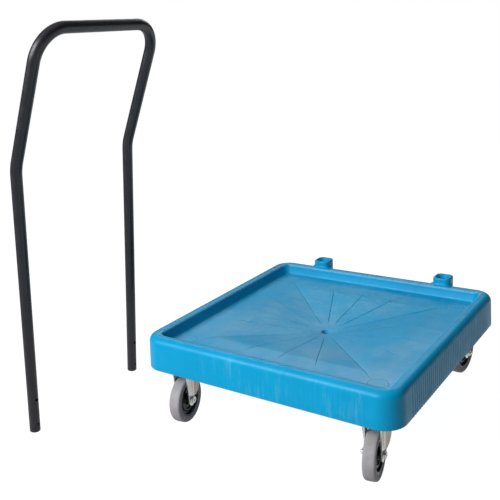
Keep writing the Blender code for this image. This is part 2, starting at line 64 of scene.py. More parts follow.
# Deck section, as in the CAD
RIM_Z = SOCKET_TOP - 0.0160
DRAFT = 0.0026
OUTER_CORNER = 0.044
RIM_ROUND = 0.014
TRAY_HALF = 0.2525
TRAY_CORNER = 0.018
TRAY_LEAN = 0.0055
INNER_ROUND = 0.0060
WALL = 0.005
SEAT_Z = RIM_Z - 0.0235
CREASE_HALF = 0.1715
DRAIN_Z = SEAT_Z - 0.0215
DRAIN_RADIUS = 0.0105
DRAIN_EDGE = 0.0015
DRAIN_BOSS = 0.0155
DRAIN_RING = (0.0300, 0.0025, 0.00030)      # half width of its middle, its own half width, depth
SPOUT_Z = DRAIN_Z - 0.012
RIB_BOTTOM = SKIRT_Z + 0.010
RIB_THICKNESS = 0.003
RIB_REACH = 0.7                       # the ribs end this share of the wall short of its outside
DIAGONAL_STRETCH = 1.3                # ribs stretched by more than this run into a corner
DIAGONAL_CUT = 0.40                   # and stop short by this share of the corner's radius

# Half widths of the shell's rows on the tray floor, from the wall to the drain
BORDER_ROWS = (0.240, 0.232, 0.222, 0.212, 0.203, 0.196, 0.189, 0.182)
CREASE_ROWS = (0.1745, 0.1723, 0.1707, 0.1685)
CREASE_DIP = 0.00012                  # of the second crease row
SLOPE_ROWS = (0.160, 0.148, 0.136, 0.124, 0.112, 0.100, 0.088, 0.076, 0.066, 0.056, 0.048,
              0.041, 0.036, 0.0330, 0.0315, 0.0300, 0.0285, 0.0270, 0.023, 0.019, 0.0155, 0.0132)

# Surface detail of the deck
RAYS = 16
COLUMN_PITCH = 0.0021
GROOVE_OFFSETS = (0.0, 0.0006, 0.0012, 0.0020)
GROOVE_SHAPE = (1.0, 0.62, 0.2, 0.0)
GROOVE_DEPTH = 0.0010
GROOVE_START = (0.030, 0.050)         # fades in over these distances from the drain
GROOVE_STOP = (0.186, 0.206)          # each groove stops at a random place in this range
GROOVE_STRENGTH = (0.65, 1.0)
EVEN_COLUMNS = (0.204, 0.236)         # column lines spread from the grooves to even gaps here
FLUTE_PITCH = 0.010
FLUTE_RELIEF = (0.00055, 0.00010)     # on the sides, on the front and back
FLUTE_REACH = 0.218
FLUTED_ROWS = (2, 14)                 # first and last shell row with flutes
FLUTE_FADE_ROW = 9                    # the flutes fade out above this row

# Sockets
SOCKET_X = 0.157
SOCKET_Y = 0.283
SOCKET_HALF = 0.02025
SOCKET_CORNER = 0.012
SOCKET_BORE = 0.0118
SOCKET_MOUTH = 0.0158
SOCKET_FLARE = 0.0065
SOCKET_LIP = 0.0032                   # rounding of the top's outer edge
MOUTH_ROUND = 0.0010

# Push handle
TUBE_RADIUS = 0.0110
TUBE_BORE = 0.0092
HANDLE_LEAN = radians(6.1)
HANDLE_YAW = radians(2.5)
LEG_LENGTH = 0.5615
CRANK_ANGLE = radians(17.8)
UPPER_LENGTH = 0.2668
CRANK_RADIUS = 0.090
GRIP_RADIUS = 0.060
CROSS_HOLES = (0.018, 0.076)
CROSS_HOLE_RADIUS = 0.0036

# Casters
PAD_Z = SKIRT_Z + 0.003
PAD_HALF = (0.054, 0.040)
CROWN_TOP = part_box("caster_front_left_fork")[1].z
FORK_GAP = 0.028
FORK_SHEET = 0.0025
FORK_HALF = FORK_GAP / 2 + FORK_SHEET
FORK_CREASE = 0.0065                  # from the axle towards the pivot, where the flange starts
AXLE_HOLE = 0.0043

# Stage, lights and camera
FLOOR_SIZE = 12.0
FLOOR_SHINE = 0.60                    # the sweep behind the object, as its surfaces mirror it
FLOOR_GLOW = (0.22, 0.99)             # towards the object, and as a white backdrop
SKY_GLOW = (0.07, 1.0)                # towards the object, and as a white backdrop
LIGHTS = (                            # name, place, target, size and power
    ("key", (-0.80, -2.10, 1.60), (0.05, 0.0, 0.20), (1.8, 1.2), 75),
    ("top", (0.0, -0.2, 2.6), (0.05, 0.0, 0.1), (2.4, 2.4), 7),
    ("back", (-1.6, 2.4, 2.15), (0.1, 0.0, 0.2), (3.4, 1.1), 26),
)
CAMERA_PLACE = (0.8061, -1.2188, 0.7830)
CAMERA_TURN = (0.6053, 0.2936, -0.0567)     # yaw, pitch and roll
LENS = 52.577
SENSOR_WIDTH = 36.0

# Angles in degrees
SMOOTH_ANGLE = 38.0
SHELL_SMOOTH_ANGLE = 42
BEVEL_ANGLE = 40

# Colours used more than once
# dark blue of painted shade, in the floor's grooves and between the side flutes
GROOVE_SHADE = (0.000, 0.130, 0.260, 1)
# pale blue of worn marks, also used as a painted highlight on the rim's inner rounding
PALE_WEAR_AND_HIGHLIGHT_BLUE = (0.42, 0.70, 0.86, 1)


# ---- mesh helpers -------------------------------------------------------------------------
def add_object(name, mesh, look=None):
    item = bpy.data.objects.new(name, mesh)
    bpy.context.scene.collection.objects.link(item)
    if look:
        mesh.materials.clear()
        mesh.materials.append(look)
    return item


def finish_mesh(name, bm, smooth_angle=SMOOTH_ANGLE):
    bmesh.ops.remove_doubles(bm, verts=bm.verts, dist=1e-6)
    bmesh.ops.recalc_face_normals(bm, faces=bm.faces)
    mesh = bpy.data.meshes.new(name)
    bm.to_mesh(mesh)
    bm.free()
    mesh.shade_smooth()
    mesh.set_sharp_from_angle(angle=radians(smooth_angle))
    return mesh


def loft(name, rings, closed=False, smooth_angle=SMOOTH_ANGLE):
    """Skin rings of equal length. Open runs get a cap at each end."""
    bm = bmesh.new()
    rows = [[bm.verts.new(point) for point in ring] for ring in rings]
    count = len(rows[0])
    pairs = list(zip(rows, rows[1:]))
    if closed:
        pairs.append((rows[-1], rows[0]))
    for lower, upper in pairs:
        for index in range(count):
            following = (index + 1) % count
            bm.faces.new((lower[index], lower[following], upper[following], upper[index]))
    if not closed:
        bm.faces.new(list(reversed(rows[0])))
        bm.faces.new(rows[-1])
    return finish_mesh(name, bm, smooth_angle)


def turned(name, profile, segments, along_x=False, smooth_angle=SMOOTH_ANGLE):
    """Spin a closed profile of (radius, height) points about Z, or about X."""
    bm = bmesh.new()
    verts = [bm.verts.new((radius, 0.0, height)) for radius, height in profile]
    edges = [bm.edges.new(pair) for pair in zip(verts, verts[1:] + verts[:1])]
    bmesh.ops.spin(bm, geom=verts + edges, cent=(0, 0, 0), axis=(0, 0, 1),
                   angle=2 * pi, steps=segments, use_merge=True)
    if along_x:
        bmesh.ops.rotate(bm, verts=bm.verts, matrix=Matrix.Rotation(pi / 2, 3, "Y"))
    return finish_mesh(name, bm, smooth_angle)


def mirrored(profile):
    """A half profile and its mirror image across the middle plane."""
    return profile + [(radius, -offset) for radius, offset in reversed(profile)]


def cylinder(name, radius, start, end, segments=32):
    start = Vector(start)
    end = Vector(end)
    bm = bmesh.new()
    bmesh.ops.create_cone(bm, cap_ends=True, segments=segments, radius1=radius, radius2=radius,
                          depth=(end - start).length)
    turn = Vector((0, 0, 1)).rotation_difference(end - start).to_matrix()
    bmesh.ops.rotate(bm, verts=bm.verts, matrix=turn)
    bmesh.ops.translate(bm, verts=bm.verts, vec=(start + end) / 2)
    return finish_mesh(name, bm)


def cut(name, base, tools):
    """The base mesh with the tools cut from it."""
    target = add_object(name + "_work", base)
    items = []
    for mesh in tools:
        tool = add_object(mesh.name + "_tool", mesh)
        boolean = target.modifiers.new(tool.name, "BOOLEAN")
        boolean.operation = "DIFFERENCE"
        boolean.object = tool
        items.append(tool)
    depsgraph = bpy.context.evaluated_depsgraph_get()
    result = bpy.data.meshes.new_from_object(target.evaluated_get(depsgraph))
    for item in [target] + items:
        bpy.data.objects.remove(item, do_unlink=True)
    result.name = name
    result.set_sharp_from_angle(angle=radians(SMOOTH_ANGLE))
    return result


def joined(name, meshes):
    """Several closed meshes as one."""
    bm = bmesh.new()
    for mesh in meshes:
        bm.from_mesh(mesh)
    result = bpy.data.meshes.new(name)
    bm.to_mesh(result)
    bm.free()
    result.shade_smooth()
    result.set_sharp_from_angle(angle=radians(SMOOTH_ANGLE))
    return result


def bevel(item, width):
    made = item.modifiers.new("edges", "BEVEL")
    made.width = width
    made.segments = 2
    made.limit_method = "ANGLE"
    made.angle_limit = radians(BEVEL_ANGLE)
    made.harden_normals = False


def quarter(centre, height, radius, steps, start, end):
    """Points of (half, z) along an arc, angles in degrees from outwards towards up."""
    turns = [radians(start + (end - start) * step / steps) for step in range(steps + 1)]
    return [(centre + radius * cos(turn), height + radius * sin(turn)) for turn in turns]


# ---- deck shell ---------------------------------------------------------------------------
def smooth(low, high, value):
    share = np.clip((value - low) / (high - low), 0.0, 1.0)
    return share * share * (3 - 2 * share)


def reach(start, heading, half, corner):
    """How far from start along heading the outline of a rounded square lies."""
    low = np.zeros(len(start))
    high = np.full(len(start), half * 1.6)
    for _ in range(44):
        middle = (low + high) / 2
        point = np.abs(start + heading * middle[:, None])
        beyond = np.maximum(point - (half - corner), 0.0)
        outside = np.hypot(beyond[:, 0], beyond[:, 1]) > corner
        outside |= point.max(axis=1) > half
        high = np.where(outside, middle, high)
        low = np.where(outside, low, middle)
    return low


def shell_rows():
    """The deck's section as (half width, corner radius, height), once round the skin."""
    top_half = HALF - DRAFT
    rows = [(half, OUTER_CORNER - (HALF - half), z)
            for half, z in quarter(HALF - 0.0010, SKIRT_Z + 0.0010, 0.0010, 3, -90, 0)]
    wall_top = RIM_Z - RIM_ROUND
    for share in (0.25, 0.5, 0.75):
        rows.append((HALF - DRAFT * share, OUTER_CORNER - DRAFT * share,
                     SKIRT_Z + (wall_top - SKIRT_Z) * share))
    for half, z in quarter(top_half - RIM_ROUND, wall_top, RIM_ROUND, 12, 0, 90):
        rows.append((half, OUTER_CORNER - DRAFT - (top_half - half), z))
    for half, z in quarter(TRAY_HALF + INNER_ROUND, RIM_Z - INNER_ROUND, INNER_ROUND, 6, 90, 180):
        rows.append((half, TRAY_CORNER + (half - TRAY_HALF), z))
    foot = TRAY_HALF - TRAY_LEAN
    corner = TRAY_CORNER - TRAY_LEAN
    depth = RIM_Z - INNER_ROUND - SEAT_Z
    for share in (0.35, 0.65, 0.92):
        rows.append((TRAY_HALF - TRAY_LEAN * share, TRAY_CORNER - TRAY_LEAN * share,
                     RIM_Z - INNER_ROUND - depth * share))
    rows.append((foot - 0.0005, corner - 0.0005, SEAT_Z + 0.0004))
    rows.append((foot - 0.0016, corner - 0.0016, SEAT_Z))
    for half in BORDER_ROWS:
        rows.append((half, 0.012, SEAT_Z))
    lip = DRAIN_RADIUS + DRAIN_EDGE
    slope = (SEAT_Z - DRAIN_Z) / (CREASE_HALF - lip)
    for half in CREASE_ROWS:
        dip = CREASE_DIP if half == CREASE_ROWS[1] else 0
        sag = max(0.0, CREASE_HALF - half) * slope + dip
        rows.append((half, 0.004, SEAT_Z - sag))
    ring_half, ring_width, ring_depth = DRAIN_RING
    for half in SLOPE_ROWS:
        round_share = float(smooth(0.075, 0.034, half))
        ring = -ring_depth * max(0.0, 1 - abs(half - ring_half) / ring_width)
        corner = 0.004 + (half - 0.0005 - 0.004) * round_share
        rows.append((half, corner, DRAIN_Z + (half - lip) * slope + ring))
    for half, z in quarter(lip, DRAIN_Z - DRAIN_EDGE, DRAIN_EDGE, 4, 90, 180):
        rows.append((half, half - 0.0002, z))
    rows.append((DRAIN_RADIUS, DRAIN_RADIUS - 0.0002, SPOUT_Z + 0.0005))
    rows.append((DRAIN_RADIUS + 0.0005, DRAIN_RADIUS + 0.0003, SPOUT_Z))
    rows.append((DRAIN_BOSS - 0.0005, DRAIN_BOSS - 0.0007, SPOUT_Z))
    rows.append((DRAIN_BOSS, DRAIN_BOSS - 0.0002, SPOUT_Z + 0.0005))
    rows.append((DRAIN_BOSS, DRAIN_BOSS - 0.0002, DRAIN_Z - WALL))
    rows.append((0.040, 0.036, DRAIN_Z - WALL + (0.040 - lip) * slope))
    rows.append((0.090, 0.006, DRAIN_Z - WALL + (0.090 - lip) * slope))
    rows.append((CREASE_HALF, 0.004, SEAT_Z - WALL))
    rows.append((foot + WALL, TRAY_CORNER, SEAT_Z - WALL))
    rows.append((TRAY_HALF + WALL, TRAY_CORNER + WALL, RIM_Z - INNER_ROUND - WALL))
    inner = RIM_ROUND - WALL
    for half, z in quarter(top_half - RIM_ROUND, wall_top, inner, 4, 90, 0):
        rows.append((half, OUTER_CORNER - DRAFT - (top_half - half), z))
    rows.append((HALF - WALL, OUTER_CORNER - WALL, SKIRT_Z + 0.0008))
    rows.append((HALF - WALL + 0.0008, OUTER_CORNER - WALL, SKIRT_Z))
    return rows


def columns(outline):
    """Column lines of the shell: ray number, rank from the ray and the ranks on that side."""
    half, corner, _ = outline
    found = []
    step = pi / RAYS
    for ray in range(RAYS):
        turn = 2 * pi * ray / RAYS
        edges = {}
        for side in (-1, 1):
            far = turn + side * step
            ends = np.array([[cos(turn), sin(turn)], [cos(far), sin(far)]])
            spots = ends * reach(np.zeros((2, 2)), ends, half, corner)[:, None]
            length = float(np.linalg.norm(spots[0] - spots[1]))
            edges[side] = max(8, round(length / COLUMN_PITCH))
        for rank in range(-edges[-1] + 1, edges[1] + 1):
            found.append((ray, rank, edges[1] if rank > 0 else edges[-1]))
    return found


def deck_shell():
    """The deck's skin: flutes on the outer faces, grooves along the rays of the tray floor."""
    rows = shell_rows()
    lines = columns(rows[6])
    ray = np.array([line[0] for line in lines])
    rank = np.array([line[1] for line in lines])
    ranks = np.array([line[2] for line in lines])
    side = np.where(rank < 0, -1.0, 1.0)
    turn = 2 * pi * ray / RAYS
    heading = np.stack([np.cos(turn), np.sin(turn)], axis=1)
    across = np.stack([-np.sin(turn), np.cos(turn)], axis=1)
    border = turn + side * pi / RAYS
    border_heading = np.stack([np.cos(border), np.sin(border)], axis=1)
    steps = np.abs(rank)
    near = np.minimum(steps, 3)
    offsets = np.array(GROOVE_OFFSETS)[near]
    shape = np.array(GROOVE_SHAPE)[near]
    draw = np.random.default_rng(7)
    strength = draw.uniform(*GROOVE_STRENGTH, RAYS)[ray]
    stop = draw.uniform(*GROOVE_STOP, RAYS)[ray]
    points = []
    for number, (half, corner, z) in enumerate(rows):
        limit = reach(np.zeros((len(lines), 2)), border_heading, half, corner) * sin(pi / RAYS)
        tight = np.minimum(1.0, limit * 0.55 / GROOVE_OFFSETS[-1])
        share = np.maximum(steps - 3, 0) / (ranks - 3)
        grooved = offsets * tight + share * (limit - GROOVE_OFFSETS[-1] * tight)
        even = steps / ranks * limit
        blend = smooth(*EVEN_COLUMNS, half)
        offset = side * (grooved * (1 - blend) + even * blend)
        start = across * offset[:, None]
        spot = start + heading * reach(start, heading, half, corner)[:, None]
        height = np.full(len(lines), z)
        on_top = z > DRAIN_Z - 0.0001 and half < TRAY_HALF - TRAY_LEAN - 0.003
        if on_top:
            fade = smooth(*GROOVE_START, half) * (1 - smooth(stop - 0.012, stop + 0.004, half))
            height = height - GROOVE_DEPTH * shape * fade * strength
        if FLUTED_ROWS[0] <= number <= FLUTED_ROWS[1]:
            level = np.abs(spot)
            front = level[:, 1] > level[:, 0]
            along = np.where(front, spot[:, 0], spot[:, 1])
            weight = 1 - smooth(FLUTE_REACH - 0.002, FLUTE_REACH + 0.002, np.abs(along))
            if number > FLUTE_FADE_ROW:
                faded = (number - FLUTE_FADE_ROW) / (FLUTED_ROWS[1] - FLUTE_FADE_ROW)
                weight = weight * max(0.0, 1 - faded)
            depth = np.where(front, FLUTE_RELIEF[1], FLUTE_RELIEF[0])
            relief = depth * np.cos(2 * pi * along / FLUTE_PITCH) * weight
            push = np.where(front[:, None], np.array([[0.0, 1.0]]), np.array([[1.0, 0.0]]))
            spot = spot + push * np.sign(spot) * relief[:, None]
        points.append(np.column_stack([spot[:, 0] + DECK_X, spot[:, 1] + DECK_Y, height]))
    count = len(lines)
    index = np.arange(len(rows) * count).reshape(len(rows), count)
    upper = np.roll(index, -1, axis=0)
    quads = np.stack([index, np.roll(index, -1, axis=1), np.roll(upper, -1, axis=1), upper], axis=-1)
    mesh = bpy.data.meshes.new("deck_shell")
    mesh.from_pydata(np.concatenate(points).tolist(), [], quads.reshape(-1, 4).tolist())
    mesh.shade_smooth()
    mesh.set_sharp_from_angle(angle=radians(SHELL_SMOOTH_ANGLE))
    return mesh


def rounded_square(half, corner, steps=8):
    points = []
    for number, (side_x, side_y) in enumerate(((1, 1), (-1, 1), (-1, -1), (1, -1))):
        for step in range(steps + 1):
            angle = (number + step / steps) * pi / 2
            points.append((side_x * (half - corner) + corner * cos(angle),
                           side_y * (half - corner) + corner * sin(angle)))
    return points


def socket_mesh(side):
    """A square boss with a flared foot on the rim and a chamfered bore."""
    middle = Vector((DECK_X + side * SOCKET_X, DECK_Y + SOCKET_Y, 0))
    rings = []

    def ring(half, corner, z, flare=0.0):
        outline = []
        for x, y in rounded_square(half, corner):
            keep = 1 - float(smooth(-0.011, 0.001, y))
            length = max(abs(x), abs(y))
            outline.append(middle + Vector((x * (1 + flare * keep / length),
                                            y * (1 + flare * keep / length), z)))
        rings.append(outline)

    ring(SOCKET_HALF - 0.0008, SOCKET_CORNER, SKIRT_Z)
    ring(SOCKET_HALF, SOCKET_CORNER, SKIRT_Z + 0.0008)
    ring(SOCKET_HALF, SOCKET_CORNER, RIM_Z - 0.018)
    ring(SOCKET_HALF, SOCKET_CORNER, RIM_Z - 0.010, SOCKET_FLARE)
    for step in range(7):
        turn = radians(90 * step / 6)
        ring(SOCKET_HALF, SOCKET_CORNER, RIM_Z - 0.001 + SOCKET_FLARE * (1 - cos(turn)),
             SOCKET_FLARE * (1 - sin(turn)))
    for step in range(6):
        turn = radians(90 * step / 5)
        inset = SOCKET_LIP * (1 - cos(turn))
        ring(SOCKET_HALF - inset, SOCKET_CORNER - inset, SOCKET_TOP - SOCKET_LIP * (1 - sin(turn)))
    for step in range(4):
        turn = radians(90 * step / 3)
        radius = SOCKET_MOUTH + MOUTH_ROUND - MOUTH_ROUND * sin(turn)
        ring(radius, radius, SOCKET_TOP - MOUTH_ROUND * (1 - cos(turn)))
    ring(SOCKET_BORE + 0.0006, SOCKET_BORE + 0.0006, SOCKET_TOP - 0.0040)
    ring(SOCKET_BORE, SOCKET_BORE, SOCKET_TOP - 0.0052)
    ring(SOCKET_BORE, SOCKET_BORE, SKIRT_Z + 0.0008)
    ring(SOCKET_BORE + 0.0008, SOCKET_BORE + 0.0008, SKIRT_Z)
    return loft(f"socket_{side}", rings, closed=True)


def floor_middle(distance):
    """Height of the middle of the tray floor's sheet, by distance from the drain."""
    share = min(1.0, max(0.0, (distance - DRAIN_BOSS) / (CREASE_HALF - DRAIN_BOSS)))
    return DRAIN_Z + share * (SEAT_Z - DRAIN_Z) - WALL / 2


def underside_meshes(places):
    """The ribs below the floor and the pads over the casters."""
    made = []
    far = HALF - RIB_REACH * WALL
    for number in range(RAYS):
        turn = 2 * pi * number / RAYS
        stretch = 1 / max(abs(cos(turn)), abs(sin(turn)))
        end = far * stretch - (OUTER_CORNER * DIAGONAL_CUT if stretch > DIAGONAL_STRETCH else 0)
        start = DRAIN_BOSS - 0.001
        outline = [(start, RIB_BOTTOM), (end, RIB_BOTTOM), (end, SEAT_Z - WALL / 2),
                   (CREASE_HALF * stretch, SEAT_Z - WALL / 2),
                   (start, floor_middle(start / stretch))]
        slabs = [[Vector((x, offset, z)) for x, z in outline]
                 for offset in (-RIB_THICKNESS / 2, RIB_THICKNESS / 2)]
        rib = loft(f"rib_{number}", slabs)
        rib.transform(Matrix.Translation((DECK_X, DECK_Y, 0)) @ Matrix.Rotation(turn, 4, "Z"))
        made.append(rib)
    for x, y in places:
        low = []
        for px, py in rounded_square(1.0, 0.15, 4):
            low.append(Vector((x + px * PAD_HALF[0], y + py * PAD_HALF[1], PAD_Z)))
        high = [Vector((p.x, p.y, floor_middle(max(abs(p.x - DECK_X), abs(p.y - DECK_Y)))))
                for p in low]
        made.append(loft("pad", [low, high]))
    return made


# ---- push handle --------------------------------------------------------------------------
def filleted_path(corners, radii, steps):
    """The line through the corners, with each inner corner rounded to its radius."""
    path = [Vector(corners[0])]
    for before, here, after, radius, count in zip(corners, corners[1:], corners[2:], radii, steps):
        here = Vector(here)
        back = (Vector(before) - here).normalized()
        ahead = (Vector(after) - here).normalized()
        half_turn = (pi - back.angle(ahead)) / 2
        centre = here + (back + ahead).normalized() * radius / cos(half_turn)
        first = here + back * radius * tan(half_turn) - centre
        last = here + ahead * radius * tan(half_turn) - centre
        for step in range(count + 1):
            share = step / count
            spoke = first * sin((1 - share) * 2 * half_turn) + last * sin(share * 2 * half_turn)
            path.append(centre + spoke / sin(2 * half_turn))
    path.append(Vector(corners[-1]))
    return path


def swept_rings(path, radii, sides):
    """Rings of points round a path, without twist."""
    rings = []
    spoke = Vector((1, 0, 0))
    for index, (point, radius) in enumerate(zip(path, radii)):
        ahead = path[min(index + 1, len(path) - 1)] - point
        behind = point - path[max(index - 1, 0)]
        along = (ahead.normalized() + behind.normalized()).normalized()
        spoke = (spoke - along * spoke.dot(along)).normalized()
        other = along.cross(spoke)
        turns = [2 * pi * side / sides for side in range(sides)]
        rings.append([point + (spoke * cos(turn) + other * sin(turn)) * radius for turn in turns])
    return rings


def handle_mesh():
    half = SOCKET_X
    crank_x = UPPER_LENGTH * sin(CRANK_ANGLE)
    top_z = LEG_LENGTH + UPPER_LENGTH * cos(CRANK_ANGLE)
    corners = [(0, -half, 0), (0, -half, LEG_LENGTH), (crank_x, -half, top_z),
               (crank_x, half, top_z), (0, half, LEG_LENGTH), (0, half, 0)]
    path = filleted_path(corners, (CRANK_RADIUS, GRIP_RADIUS, GRIP_RADIUS, CRANK_RADIUS),
                         (10, 24, 24, 10))
    ends = [path[0], path[0] + Vector((0, 0, 0.0003)), path[0] + Vector((0, 0, 0.0012))]
    tails = [path[-1] + Vector((0, 0, 0.0012)), path[-1] + Vector((0, 0, 0.0003)), path[-1]]
    line = ends + path[1:-1] + tails
    outer = [TUBE_RADIUS - 0.0003, TUBE_RADIUS - 0.0001] + [TUBE_RADIUS] * (len(line) - 4)
    outer += [TUBE_RADIUS - 0.0001, TUBE_RADIUS - 0.0003]
    skin = swept_rings(line, outer, 40)
    bore = swept_rings(line, [TUBE_BORE] * len(line), 40)
    tube = loft("tube", skin + list(reversed(bore)), closed=True)
    holes = []
    for side in (-1, 1):
        for height in CROSS_HOLES:
            holes.append(cylinder(f"cross_{side}_{height}", CROSS_HOLE_RADIUS,
                                  (-0.03, side * half, height), (0.03, side * half, height), 28))
    mesh = cut("push_handle_tube", tube, holes)
    mesh.transform(Euler((0, HANDLE_LEAN, HANDLE_YAW)).to_matrix().to_4x4())
    co = np.empty(len(mesh.vertices) * 3)
    mesh.vertices.foreach_get("co", co)
    co = co.reshape(-1, 3)
    low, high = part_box("push_handle")
    shift = (low + high) / 2 - Vector((co.min(0) + co.max(0)) / 2)
    mesh.transform(Matrix.Translation((shift.x, shift.y, low.z - co[:, 2].min())))
    return mesh


# ---- caster pieces, each in its caster's frame: swivel up Z, axle along X ------------------
def fork_leg(side, trail, axle_z):
    """A pressed leg: a round foot at the axle, a flat strip, a flange turned outwards."""
    top = CROWN_TOP - axle_z
    # height over the axle, front edge, back edge or crease, how far the flange stands out
    rows = [(-0.0140, 0.0, 0.0, 0.0), (-0.0105, -0.0085, 0.0065, 0.0),
            (-0.0045, -0.0120, 0.0110, 0.0), (0.0050, -0.0124, 0.0090, 0.0),
            (0.0075, -0.0125, FORK_CREASE, 0.0036), (0.0120, -0.0126, FORK_CREASE, 0.0055),
            (0.0200, -0.0128, FORK_CREASE, 0.0080), (0.0300, -0.0138, FORK_CREASE, 0.0096),
            (0.0450, -0.0150, FORK_CREASE, 0.0112), (top - 0.0040, -0.0160, FORK_CREASE, 0.0118),
            (top, -0.0160, FORK_CREASE, 0.0118)]
    count = 12      # steps across a row
    strip = 7       # of them on the flat strip, the rest on the flange
    rings = []
    for z, front, crease, flange in rows:
        row = []
        for step in range(count + 1):
            along = min(1.0, step / strip)
            out = max(0.0, (step - strip) / (count - strip)) * flange
            y = front + (crease - front) * along + out
            x = FORK_HALF - 0.0001 + out
            row.append((x, y - trail, z + axle_z))
        if flange == 0.0:
            row = [(FORK_HALF - 0.0001, front + (crease - front) * step / count - trail,
                    z + axle_z) for step in range(count + 1)]
        rings.append(row)
    bm = bmesh.new()
    layers = []
    for inset in (0.0, FORK_SHEET):
        layers.append([[bm.verts.new((side * (x - inset), y, z)) for x, y, z in row]
                       for row in rings])
    for number, layer in enumerate(layers):
        for low, high in zip(layer, layer[1:]):
            for step in range(count):
                quad = (low[step], low[step + 1], high[step + 1], high[step])
                bm.faces.new(quad if number == 0 else tuple(reversed(quad)))
    outer, inner = layers
    rims = []
    for layer in (outer, inner):
        rims.append([row[0] for row in layer] + layer[-1][1:]
                    + [row[-1] for row in reversed(layer[:-1])] + list(reversed(layer[0][1:-1])))
    for index in range(len(rims[0])):
        following = (index + 1) % len(rims[0])
        bm.faces.new((rims[0][index], rims[0][following], rims[1][following], rims[1][index]))
    return finish_mesh("fork_leg", bm, 30)


def fork_meshes(trail, axle_z):
    """Two legs with axle holes, the roof between them and the crown. The roof has no pin hole."""
    legs = []
    for side in (-1, 1):
        hole = cylinder("axle_hole", AXLE_HOLE, (-0.03, -trail, axle_z), (0.03, -trail, axle_z))
        legs.append(cut("fork_leg", fork_leg(side, trail, axle_z), [hole]))
    half = FORK_HALF - 0.0004
    roof = []
    for z in (CROWN_TOP - FORK_SHEET, CROWN_TOP):
        roof.append([Vector((x, y - trail, z)) for x, y in
                     ((-half, -0.0156), (half, -0.0156), (half, 0.0300), (-half, 0.0300))])
    profile = [(0.0065, CROWN_TOP - 0.0026), (0.0265, CROWN_TOP - 0.0026),
               (0.0272, CROWN_TOP - 0.0018), (0.0272, CROWN_TOP - 0.0006),
               (0.0266, CROWN_TOP + 0.0001), (0.0065, CROWN_TOP + 0.0001)]
    return legs + [loft("roof", roof), turned("crown", profile, 64)]


def hexagon(radius, start, end, chamfer=0.0009):
    """A chamfered hexagonal prism along X."""
    rings = []
    low, high = min(start, end), max(start, end)
    for x, size in ((low, radius - chamfer), (low + chamfer * 0.55, radius),
                    (high - chamfer * 0.55, radius), (high, radius - chamfer)):
        ring = []
        for step in range(24):
            turn = 2 * pi * step / 24
            size_here = min(radius * cos(pi / 6) / cos((turn % (pi / 3)) - pi / 6), size)
            ring.append(Vector((x, size_here * sin(turn), size_here * cos(turn))))
        rings.append(ring)
    return loft("hexagon", rings, smooth_angle=25)


def bolt_mesh():
    """Hex bolt across the fork: flanged head with a dimple on +X, thread end on -X."""
    start = FORK_HALF + 0.0003
    head = hexagon(0.0072, start + 0.0010, start + 0.0050)
    dimple = turned("dimple", [(0.0, start + 0.0034), (0.0024, start + 0.0036),
                               (0.0032, start + 0.0056), (0.0, start + 0.0056)], 24, along_x=True)
    head = cut("bolt_head", head, [dimple])
    flange = turned("flange", [(0.0, start), (0.0079, start), (0.0080, start + 0.0005),
                               (0.0074, start + 0.0014), (0.0, start + 0.0014)], 40, along_x=True)
    thread = []
    turns = 7
    for step in range(turns * 2 + 1):
        radius = 0.0038 if step % 2 else 0.0034
        thread.append((radius, -FORK_HALF - 0.0085 + step * 0.0010))
    shank = [(0.0, -FORK_HALF - 0.0090), (0.0028, -FORK_HALF - 0.0090)] + thread
    shank += [(0.00385, thread[-1][1] + 0.0005), (0.00385, start + 0.0004), (0.0, start + 0.0004)]
    body = turned("shank", shank, 28, along_x=True, smooth_angle=20)
    return joined("axle_bolt_detail", [head, flange, body])


def nut_mesh():
    """Hex lock nut with its collar, at the thread end."""
    start = -FORK_HALF - 0.0003
    body = hexagon(0.0072, start - 0.0048, start)
    collar = turned("collar", [(0.0044, start - 0.0046), (0.0061, start - 0.0046),
                               (0.0060, start - 0.0058), (0.0052, start - 0.0064),
                               (0.0044, start - 0.0064)], 36, along_x=True)
    bore = cylinder("nut_bore", 0.0042, (start - 0.02, 0, 0), (start + 0.02, 0, 0), 28)
    return joined("axle_nut_detail", [cut("nut_body", body, [bore]), collar])


def hub_mesh():
    half = [(0.0068, 0.0125), (0.0098, 0.0125), (0.0106, 0.0120), (0.0110, 0.0108), (0.0122, 0.0060),
            (0.0128, 0.0050), (0.0140, 0.0045), (0.0197, 0.0045), (0.0203, 0.0049), (0.0211, 0.0069),
            (0.0219, 0.0075), (0.0245, 0.0075), (0.0253, 0.0069), (0.0260, 0.0049), (0.0268, 0.0045),
            (0.0295, 0.0045), (0.0305, 0.0050), (0.0317, 0.0092), (0.0325, 0.0102), (0.0335, 0.0105),
            (0.0355, 0.0105)]
    return turned("wheel_hub_detail", mirrored(half), 96, along_x=True)


def tyre_mesh():
    half = [(0.0358, 0.0106), (0.0367, 0.0112), (0.0384, 0.0113), (0.0390, 0.0107), (0.0396, 0.0109),
            (0.0402, 0.0119), (0.0422, 0.0120), (0.0428, 0.0115), (0.0434, 0.0115), (0.0440, 0.0120),
            (0.0456, 0.0119), (0.0468, 0.0114), (0.0478, 0.0104), (0.0484, 0.0090), (0.0488, 0.0070),
            (0.0490, 0.0040), (0.0490, 0.0013)]
    return turned("tyre_detail", mirrored(half), 112, along_x=True, smooth_angle=50)


